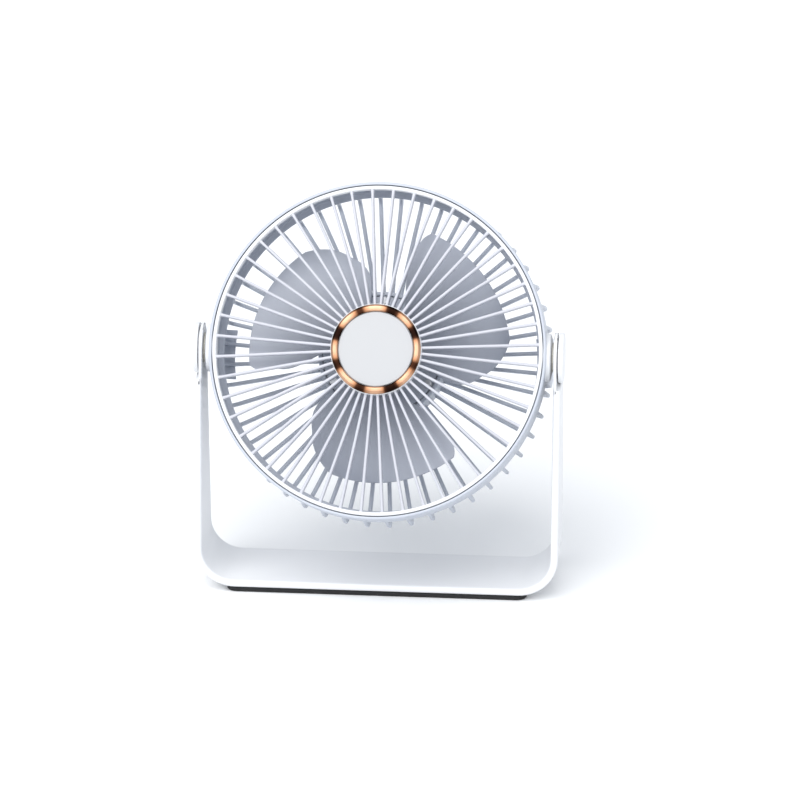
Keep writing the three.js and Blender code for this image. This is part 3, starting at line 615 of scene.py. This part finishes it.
def makeBand(size):
    # two faces either side of the band's middle line, thin above the seats, joined round their
    # rims and rounded along their sharp edges
    columns = size["columns"]
    line, out = bandLine(size)
    seat = pivot[2] - size["seatDrop"]
    depth = bandHalfDepth(line[:, 1], size)[:, None] * np.linspace(-1, 1, columns)[None, :]
    half = np.full(len(line), size["thickness"] / 2)
    outerReach = np.where(line[:, 1] > seat - 1e-5, size["webThickness"] - half, half)
    endY, endZ = armEnd(size)

    def face(reach, sign):
        # one face of the band, at this reach from its middle line, with its round ends
        rows = line + out * (sign * reach)[:, None]
        body = np.stack([np.repeat(rows[:, :1], columns, 1), depth, np.repeat(rows[:, 1:], columns, 1)], -1)
        first, last = (
            np.stack([np.full_like(endY, rows[row, 0]), endY, pivot[2] + endZ], -1) for row in (0, -1)
        )
        return np.concatenate([first[::-1], body, last])

    piece = makePiece("standBand", [closedSheet(face(outerReach, 1), face(half, -1))], "stand", "u_stand")
    data = piece.data
    edges = meshValues(data.edges, "vertices", 2, np.int32)
    places = meshValues(data.vertices, "co", 3)
    sharp = meshValues(data.attributes["sharp_edge"].data, "value", 1, bool)[:, 0]
    onWeb = places[edges, 2].mean(1) > seat - 1e-4
    weight = np.where(sharp, np.where(onWeb, size["webEdgeShare"], 1.0), 0.0).astype(np.float32)
    data.attributes.new("bevel_weight_edge", "FLOAT", "EDGE").data.foreach_set("value", weight)
    bevel = piece.modifiers.new("edges", "BEVEL")
    bevel.limit_method, bevel.width, bevel.segments = "WEIGHT", size["edgeRound"], 5
    bevel.use_clamp_overlap = False
    dress(piece, "white_plastic")


makeBand(band)

padLow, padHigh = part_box("base_pad")
pad = {"corner": 0.006, "edgeRound": 0.0007}


def makePad(size):
    # a flat pad: its rounded outline is carried up its edge, then drawn in to the middle
    corners = ((1, -1), (1, 1), (-1, 1), (-1, -1))
    outline = filleted([(x * padHigh.x, y * padHigh.y, size["corner"]) for x, y in corners], 8)
    inset = size["edgeRound"]
    turn = np.linspace(0, np.pi / 2, 4)
    opening, closing = inset * (1 - np.cos(turn)), inset * (1 - np.sin(turn))
    low, high = padLow.z, padHigh.z
    rise = np.concatenate([[low], low + opening, high - closing, [high]])
    shares = np.concatenate([[0.0], 1 - closing / padHigh.y, 1 - opening / padHigh.y, [0.0]])
    points = np.zeros((len(rise), len(outline), 3))
    points[..., :2] = outline[None] * shares[:, None, None]
    points[..., 2] = rise[:, None]
    piece = makePiece("basePad", [grid(points, wrapColumns=True)], "stand", "base_pad")
    dress(piece, "black_rubber")


makePad(pad)

caps = {
    "round": 0.0011,
    "dome": 0.0003,
    "ringRadius": 0.0112,
    "ringDepth": 0.00025,
    "locatorInner": 0.0098,
    "locatorOuter": 0.0115,
}


def makeArmCap(side, sign, size):
    # a disc with a soft rim and a fine ring cut in its face, and a low ring behind it in the arm
    low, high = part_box("arm_cap_" + side)
    near, far = sorted((abs(low.x), abs(high.x)))
    radius = (high.z - low.z) / 2
    groove = near + 0.0005
    corners = [
        (0.0, groove, 0), (radius - 0.003, groove, 0), (radius, groove + 0.0001, 0.0003),
        (radius, far - size["dome"], size["round"]), (size["ringRadius"], far - 0.00005, 0),
        (size["ringRadius"] - 0.0003, far - size["ringDepth"], 0),
        (size["ringRadius"] - 0.0006, far, 0), (0.0, far, 0),
    ]
    inner, outer = size["locatorInner"], size["locatorOuter"]
    locator = np.array([[inner, near], [outer, near], [outer, groove + 0.0004], [inner, groove + 0.0004]])
    parts = [turnedSide(filleted(corners), sign), turnedSide(locator, sign)]
    piece = makePiece("armCap_" + side, parts, "stand", "arm_cap_" + side)
    dress(piece, "white_plastic")


bosses = {"round": 0.0012, "rimDrop": 0.0006, "thickness": 0.0055, "flatShare": 0.72}


def makeBoss(side, sign, size):
    # a thick disc whose face falls slightly towards its rim
    low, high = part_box("pivot_boss_" + side)
    far = max(abs(low.x), abs(high.x))
    near = far - size["thickness"]
    radius = (high.z - low.z) / 2
    corners = [
        (0.0, near, 0), (radius, near, 0), (radius, far - size["rimDrop"], size["round"]),
        (radius * size["flatShare"], far, 0.0005), (0.0, far, 0),
    ]
    disc = turnedSide(filleted(corners), sign)
    piece = makePiece("pivotBoss_" + side, [disc], "head", "pivot_boss_" + side)
    dress(piece, "white_plastic")


for sideName, sideSign in (("left", -1), ("right", 1)):
    makeArmCap(sideName, sideSign, caps)
    makeBoss(sideName, sideSign, bosses)
print("stand made")

# the rear shell

grilleRadius = headSpan("front_grille")[2]
coverRear, coverFront = headSpan("rear_cover")[:2]
shell = {
    "radius": 0.1012,
    "wall": 0.0026,
    "lipWidth": 0.0016,
    "lipRound": 0.0008,
    "front": 0.016,
    "rear": -0.0155,
    "flange": 0.0065,
    "flangeThickness": 0.0022,
    "seatDepth": 0.0073,
    "cageDepth": 0.038,
    "cageCorner": 0.011,
    "cageInset": 0.0004,
    "cageSwell": 0.002,
    "ribDepth": 0.006,
    "ribThickness": 0.0023,
    "ribRound": 0.0009,
    "drumRoot": 0.0009,  # how much thicker a rib is where it leaves the drum
    "housingRoot": 0.0007,
    "rootFade": 1.2,  # in stations of the cage's curve
    "ribCount": 48,
    "panelHeight": 0.030,
    "panelThickness": 0.0024,
    "panelEdge": 0.0006,
    "housingRadius": 0.0384,
    "housingWall": 0.0024,
    "housingFront": -0.0195,
}
ribAngles = (np.arange(shell["ribCount"]) + 0.5) * 360 / shell["ribCount"]
shellRadius = shell["radius"]
cageOuter = shellRadius + shell["cageSwell"]
cageRear = shell["rear"] - shell["cageDepth"]


def drumOutline(size):
    # the drum's wall in section, with its inward flange at the back and the grille's seat in front
    inner = shellRadius - size["wall"]
    flange = shellRadius - size["flange"]
    lip = shellRadius - size["lipWidth"]
    seat = size["front"] - size["seatDepth"]
    top = size["rear"] + size["flangeThickness"]
    return filleted([
        (inner, top, 0.0012), (flange, top, 0.0008), (flange, size["rear"], 0.0008),
        (shellRadius, size["rear"], 0.0012), (shellRadius, size["front"], size["lipRound"]),
        (lip, size["front"], 0.0003), (lip, seat, 0.0002), (inner, seat - 0.0004, 0.0004),
    ])


def cageCurve(inset, size, root):
    # the cage's section at a depth below its skin: back from the flange along a quarter of a sine
    # wave, round the corner, straight in
    corner, radius = size["cageCorner"], size["cageCorner"] - inset
    centre = np.array([cageOuter - corner, cageRear + corner])
    share = np.linspace(0, 1, 10)[:-1]
    swell = (size["cageSwell"] + size["cageInset"]) * np.sin(share * np.pi / 2)
    start = size["rear"] + 0.001
    out = shellRadius - size["cageInset"] + swell - inset
    back = np.stack([out, start + (centre[1] - start) * share], -1)
    turn = np.linspace(0, -np.pi / 2, 13)
    bend = centre + radius * np.stack([np.cos(turn), np.sin(turn)], -1)
    inwards = np.linspace(centre[0], root, 12)[1:]
    return np.concatenate([back, bend, np.stack([inwards, np.full_like(inwards, cageRear + inset)], -1)])


def makeRearShell(size):
    # the drum, one plate rib between the cage's skin and a line under it at each angle, each rib
    # thicker at its two roots, and the motor's housing
    root = size["housingRadius"] - size["housingWall"] / 2
    outer, inner = cageCurve(0.0, size, root), cageCurve(size["ribDepth"], size, root)
    fade = np.exp(-np.arange(len(outer)) / size["rootFade"])
    swell = fade * size["drumRoot"] + fade[::-1] * size["housingRoot"]
    ribs = plateRibs(outer, inner, size["ribThickness"] + swell, size["ribRound"], ribAngles)
    tubeInner = size["housingRadius"] - size["housingWall"]
    tube = filleted([
        (tubeInner, coverRear, 0.0005), (size["housingRadius"], coverRear, 0.0012),
        (size["housingRadius"], size["housingFront"], 0.0010), (tubeInner, size["housingFront"], 0.0006),
    ])
    parts = [turned(drumOutline(size)), ribs, turned(tube, 128)]
    # the pale plastic is painted shade: the white plastic darkened
    dress(makePiece("rearShell", parts, "head", "rear_shell"), "pale_plastic")


def makeSidePanels(size):
    # the cage's skin at both sides, kept to a strip of even height
    outside, inside = (cageCurve(inset, size, 0.0)[:-11] for inset in (0.0, size["panelThickness"]))
    height = np.linspace(-1, 1, 15)[None, :] * size["panelHeight"] / 2

    def skin(section, sign):
        # the section's radius kept at every height, so the strip bends round the fan's axis
        radius = section[:, :1]
        right = sign * np.sqrt(radius**2 - height**2)
        up = np.repeat(height, len(section), 0)
        front = np.repeat(section[:, 1:], height.shape[1], 1)
        return headToWorld(np.stack([right, up, front], -1))

    parts = [closedSheet(skin(outside, sign), skin(inside, sign)) for sign in (-1, 1)]
    piece = makePiece("sidePanels", parts, "head", "rear_shell")
    bevelled(piece, size["panelEdge"])
    # the pale plastic is painted shade: the white plastic darkened
    dress(piece, "pale_plastic")


makeRearShell(shell)
makeSidePanels(shell)

cover = {
    "round": 0.0007,
    "holeGap": 0.0003,
    "buttonX": 0.010,
    "buttonRadius": 0.006,
    "socketX": -0.014,
    "socketHalf": (0.00475, 0.0019),
    "lightY": -0.015,
    "lightRadius": 0.0011,
    "screwCount": 4,
    "screwRadius": 0.0012,
    "screwHead": 0.0023,
    "screwSeat": 0.0012,  # depth of the head's recess
    "slotHalf": (0.0014, 0.0003),
    "slotDepth": 0.0007,
    "dishDepth": 0.0005,
    "dishRim": 0.0011,
    "buttonFlange": 0.001,
}


def headMiddle(node):
    # the middle of a CAD node's box, to the right of and above the fan's axis
    local = nodePoints(node) - pivot
    right, up = local @ sideAxis, local @ upAxis
    return (right.min() + right.max()) / 2, (up.min() + up.max()) / 2


def makeRearCover(size):
    # a round plate with a soft edge and openings for the button, socket, light and screws
    low, high, radius = headSpan("rear_cover")
    plate = filleted([
        (0.0, high, 0), (radius, high, 0.0003), (radius, low, size["round"]), (0.0, low, 0),
    ])
    piece = makePiece("rearCover", [turned(plate, 160)], "head", "rear_cover")
    below, above = low - 0.002, high + 0.002
    seat = low + size["screwSeat"]

    def hole(radius, right, up, near=below, far=above, segments=48):
        # a plain round plug, a gap wider than what goes in the hole
        reach = radius + size["holeGap"]
        outline = np.array([[0.0, near], [reach, near], [reach, far], [0.0, far]])
        return turned(outline, segments, right, up)

    tools = [
        hole(size["buttonRadius"], size["buttonX"], 0, segments=72),
        roundBar(size["socketX"], 0, *size["socketHalf"], below, above),
        hole(size["lightRadius"], 0, size["lightY"]),
    ]
    for k in range(size["screwCount"]):
        right, up = headMiddle("cover_screw_%d" % (k + 1))
        tools.append(hole(size["screwRadius"], right, up, near=seat - 0.0001))
        tools.append(hole(size["screwHead"], right, up, far=seat))
    cutAway(piece, tools)
    bevelled(piece, 0.00025, segments=2, angle=50)
    dress(piece, "white_plastic")


def makeCoverScrews(size):
    # countersunk heads with one slot each, no two slots turned alike
    for k in range(size["screwCount"]):
        node = "cover_screw_%d" % (k + 1)
        low, high, _ = headSpan(node)
        right, up = headMiddle(node)
        outline = filleted([
            (0.0, high, 0), (size["screwRadius"], high, 0.0003), (size["screwRadius"], low + 0.0014, 0),
            (size["screwHead"], low + 0.0009, 0.0001), (size["screwHead"], low, 0.0003), (0.0, low, 0),
        ])
        piece = makePiece("coverScrew_%d" % (k + 1), [turned(outline, 48, right, up)], "head", node)
        slotTurn = 0.6 + 1.1 * k
        slot = roundBar(right, up, *size["slotHalf"], low - 0.001, low + size["slotDepth"], slotTurn)
        cutAway(piece, [slot])
        dress(piece, "steel")


def makePowerButton(size):
    # a button with a shallow dish in its face and a flange that keeps it in the cover
    low, high, _ = headSpan("power_button")
    radius = size["buttonRadius"]
    seat = coverFront + 0.0003
    share = np.linspace(0, 1, 10)
    rimStart, flange = radius - size["dishRim"], radius + size["buttonFlange"]
    dish = np.stack([rimStart * share, low + size["dishDepth"] * (1 - share**2)], -1)
    rim = filleted([(rimStart, low, 0), (radius, low, 0.0006), (radius, seat, 0)], 4)
    outline = np.concatenate([dish[:-1], rim, [[flange, seat], [flange, high], [0.0, high]]])
    button = turned(outline, 72, size["buttonX"])
    dress(makePiece("powerButton", [button], "button", "power_button"), "white_plastic")


makeRearCover(cover)
makeCoverScrews(cover)
makePowerButton(cover)
print("rear shell made")

# the front grille

grille = {
    "ringWidth": 0.0022,
    "ringDepth": 0.007,
    "ringRound": 0.0006,
    "ribThickness": 0.0016,
    "ribRound": 0.00075,
    "ribDepthAtRing": 0.0056,
    "ribDepthAtHub": 0.0105,
    "domeHeight": 0.009,
    "hubRadius": 0.0273,
    "hubDepth": 0.012,
    "hubWall": 0.002,
    "ribDrop": 0.0006,  # of the ribs below the ring's front
    "rootSwell": 0.0007,
    "rootFade": 0.0011,
}


def makeFrontGrille(size):
    # a ring, a hub cup, and ribs that climb from one to the other in a shallow parabola and stand
    # a little thicker at the ring
    front = shell["front"]
    ribFront = front - size["ribDrop"]
    inner = grilleRadius - size["ringWidth"]
    ring = filleted([
        (inner, front - size["ringDepth"], 0.0003), (grilleRadius, front - size["ringDepth"], 0.0003),
        (grilleRadius, front, size["ringRound"]), (inner, front, size["ringRound"] * 1.3),
    ])
    hubFront = front + size["domeHeight"]
    hub = filleted([
        (0.0, hubFront - size["hubWall"], 0),
        (size["hubRadius"] - size["hubWall"], hubFront - size["hubWall"], 0.0005),
        (size["hubRadius"] - size["hubWall"], hubFront - size["hubDepth"], 0.0005),
        (size["hubRadius"], hubFront - size["hubDepth"], 0.0005),
        (size["hubRadius"], hubFront, 0.0003), (0.0, hubFront, 0),
    ])
    share = np.linspace(0, 1, 28)
    near, far = inner + 0.0006, size["hubRadius"] - 0.0008
    radius = near + (far - near) * share
    top = ribFront + size["domeHeight"] * (1.25 * share - 0.25 * share**2) - 0.0004 * share
    ringLow, hubLow = ribFront - size["ribDepthAtRing"], hubFront - size["ribDepthAtHub"]
    bottom = ringLow + (hubLow - ringLow) * share
    outer, under = np.stack([radius, top], -1), np.stack([radius, bottom], -1)
    swell = size["rootSwell"] * np.exp(-(near - radius) / size["rootFade"])
    ribs = plateRibs(outer, under, size["ribThickness"] + swell, size["ribRound"], ribAngles)
    # the ribs take a copy of the white plastic darkened as painted shade
    dress(makePiece("grilleRibs", [ribs], "head", "front_grille"), "white_plastic", "rib_plastic")
    rings = [turned(ring, 240), turned(hub, 128)]
    dress(makePiece("grilleRing", rings, "head", "front_grille"), "white_plastic")


makeFrontGrille(grille)

trimRear, trimFront, trimRadius = headSpan("hub_trim_ring")
badgeRear, badgeFront, badgeRadius = headSpan("hub_badge")
trim = {"innerRadius": 0.0227, "outerBevel": 0.0012, "innerBevel": 0.0006}


def makeTrimRing(size):
    # a flat ring with a wide soft bevel outside and a narrow one inside
    section = filleted([
        (size["innerRadius"], trimRear, 0), (trimRadius, trimRear, 0),
        (trimRadius, trimFront - size["outerBevel"], 0.0008),
        (trimRadius - size["outerBevel"], trimFront, 0.0008),
        (size["innerRadius"] + size["innerBevel"], trimFront, 0.0003),
        (size["innerRadius"], trimFront - size["innerBevel"], 0.0003),
    ])
    dress(makePiece("hubTrimRing", [turned(section, 240)], "head", "hub_trim_ring"), "copper_trim")


def makeBadge():
    # a disc with a barely domed face
    share = np.linspace(1, 0, 12)
    face = np.stack([(badgeRadius - 0.0004) * share, badgeFront - 0.0003 * share**2], -1)
    edge = [[0.0, badgeRear], [badgeRadius, badgeRear], [badgeRadius, badgeFront - 0.0007]]
    disc = turned(np.concatenate([edge, face]), 160)
    # the badge's plastic is the white plastic darkened as painted shade
    dress(makePiece("hubBadge", [disc], "head", "hub_badge"), "badge_plastic")


makeTrimRing(trim)
makeBadge()
print("front grille made")

# the impeller

impeller = {
    "bladeCount": 3,
    "tipRadius": 0.078,
    "thickness": 0.0016,
    "hubRadius": 0.022,
    "hubWall": 0.0016,
    "hubFront": 0.010,
    "hubLength": 0.023,
    "hubRound": 0.0035,
    "shaftHole": 0.0018,
    "bladeFront": 0.008,
    "bladeDepth": 0.019,
    "bladeSpread": 0.5,
    "bladeEdge": 0.0005,
    "width": (62, 30, 26),  # degrees at the root, of swell and of narrowing at the tip
    "lean": 16,
    "camber": 0.0024,
    "startAngle": 22,
}


def bladeFace(size, side, rows=40, columns=48):
    # at a share of the way out and across: the width as an angle swells and then narrows to the
    # tip, the blade leans round the axis as the square of the way out, and the sheet climbs and
    # bows from its rear edge to its front edge
    out = np.linspace(0, 1, rows)[:, None] ** 0.85
    across = np.linspace(0, 1, columns)[None, :]
    start = size["hubRadius"] - 0.001
    radius = start + (size["tipRadius"] - start) * out
    root, swell, narrowing = size["width"]
    width = root + swell * np.sin(np.pi * np.minimum(out, 0.72)) - narrowing * out**6
    angle = np.radians(size["lean"] * out**2 + width * (across - 0.5))
    depth = size["bladeDepth"] * (1 + size["bladeSpread"] * out)
    bow = size["camber"] * (np.sin(np.pi * across) - 0.5)
    middle = size["bladeFront"] - depth / 2
    height = middle + depth * 0.9 * (across - 0.5) + bow + side * size["thickness"] / 2
    return np.stack(np.broadcast_arrays(radius * np.cos(angle), radius * np.sin(angle), height), -1)


def makeImpeller(size):
    # the blade's two faces closed into a sheet and turned to each place, and a cup for a hub
    turns = np.radians(size["startAngle"] + 360 * np.arange(size["bladeCount"]) / size["bladeCount"])

    def copies(points):
        # the points turned about the fan's axis to each blade's place
        cosine, sine = np.cos(turns)[:, None, None], np.sin(turns)[:, None, None]
        right = points[..., 0] * cosine - points[..., 1] * sine
        up = points[..., 0] * sine + points[..., 1] * cosine
        return headToWorld(np.stack(np.broadcast_arrays(right, up, points[..., 2]), -1))

    blades = closedSheet(copies(bladeFace(size, 1)), copies(bladeFace(size, -1)))
    inner = size["hubRadius"] - size["hubWall"]
    rear = size["hubFront"] - size["hubLength"]
    roof = size["hubFront"] - size["hubWall"]
    hub = filleted([
        (size["shaftHole"], roof, 0), (inner, roof, 0.002),
        (inner, rear, 0.0004), (size["hubRadius"], rear, 0.0006),
        (size["hubRadius"], size["hubFront"], size["hubRound"]), (size["shaftHole"], size["hubFront"], 0),
    ])
    piece = makePiece("impellerBlades", [blades], "fan", "impeller")
    bevelled(piece, size["bladeEdge"])
    # the blades and hub take a copy of the white plastic darkened as painted shade
    dress(piece, "pale_plastic", "blade_plastic")
    hubPiece = makePiece("impellerHub", [turned(hub, 128)], "fan", "impeller")
    dress(hubPiece, "pale_plastic", "blade_plastic")


makeImpeller(impeller)
print("impeller made")

# floor, light and camera

room = {
    "floorHalf": 3.0,
    "cameraAzimuth": 4.8,
    "cameraElevation": 21.0,
    "lens": 280.0,
    "frameWidth": 0.480,  # what the picture takes in at the object, across
    "aimRight": 0.0125,
    "aimDown": 0.0285,
}

light = {
    "keyPower": 2.2,
    "keySoftness": 56,
    "keyAzimuth": -22,
    "keyElevation": 53,
    "keyColour": (1.0, 0.995, 0.985),
    "sidePower": 1.2,
    "sidePlace": (1.0, -1.1, 0.45),
    "sideSize": (0.5, 0.9),
    "skyPower": 0.77,
    "skyColour": (0.90, 0.945, 1.0, 1),
}


def makeFloor(size):
    # a flat square, wide enough to reach past the view
    half = size["floorHalf"]
    share = np.linspace(-half, half, 9)
    points = np.zeros((9, 9, 3))
    points[..., 0], points[..., 1] = np.meshgrid(share, share)
    flat, faces = grid(points)
    data = bpy.data.meshes.new("floor")
    data.from_pydata(flat.tolist(), [], faces.tolist())
    material, shade, shader = newMaterial("floorPaint")
    drift = noise(shade, objectPlace(shade), 2.0, 2.0)
    paint = mixColour(shade, drift, (0.93, 0.93, 0.935, 1), (0.95, 0.95, 0.95, 1))
    feed(shade, shader, colour=paint, roughness=0.9)
    data.materials.append(material)
    linked("floor", data)


def direction(azimuth, elevation):
    # the unit vector towards a place seen at these angles, with azimuth 0 in front of the face
    azimuth, elevation = math.radians(azimuth), math.radians(elevation)
    level = math.cos(elevation)
    return Vector((math.sin(azimuth) * level, -math.cos(azimuth) * level, math.sin(elevation)))


def makeLights(size):
    # a broad soft sun in front and above, a weak panel at the right and an even pale sky
    sun = bpy.data.lights.new("keyLight", "SUN")
    sun.energy, sun.color = size["keyPower"], size["keyColour"]
    sun.angle = math.radians(size["keySoftness"])
    source = direction(size["keyAzimuth"], size["keyElevation"])
    linked("keyLight", sun).rotation_euler = (-source).to_track_quat("-Z", "Y").to_euler()
    panel = bpy.data.lights.new("sideLight", "AREA")
    panel.shape, (panel.size, panel.size_y) = "RECTANGLE", size["sideSize"]
    panel.energy = size["sidePower"]
    lamp = linked("sideLight", panel)
    lamp.location = size["sidePlace"]
    aim = Vector((0, 0, 0.13)) - Vector(size["sidePlace"])
    lamp.rotation_euler = aim.to_track_quat("-Z", "Y").to_euler()
    world = bpy.data.worlds.new("studio")
    world.use_nodes = True
    background = world.node_tree.nodes["Background"]
    background.inputs["Color"].default_value = size["skyColour"]
    background.inputs["Strength"].default_value = size["skyPower"]
    bpy.context.scene.world = world


def makeCamera(size):
    # a long lens, as far back as its angle needs to take in frameWidth at the object
    back = direction(size["cameraAzimuth"], size["cameraElevation"])
    data = bpy.data.cameras.new("camera")
    data.lens = size["lens"]
    distance = size["frameWidth"] * data.lens / data.sensor_width
    turn = (-back).to_track_quat("-Z", "Y")
    right, up = turn @ Vector((1, 0, 0)), turn @ Vector((0, 1, 0))
    target = Vector(pivot) + right * size["aimRight"] - up * size["aimDown"]
    camera = linked("camera", data)
    camera.location = target + back * distance
    camera.rotation_euler = turn.to_euler()
    bpy.context.scene.camera = camera


makeFloor(room)
makeLights(light)
makeCamera(room)
bpy.context.scene.view_settings.view_transform = "Standard"
print("room made")
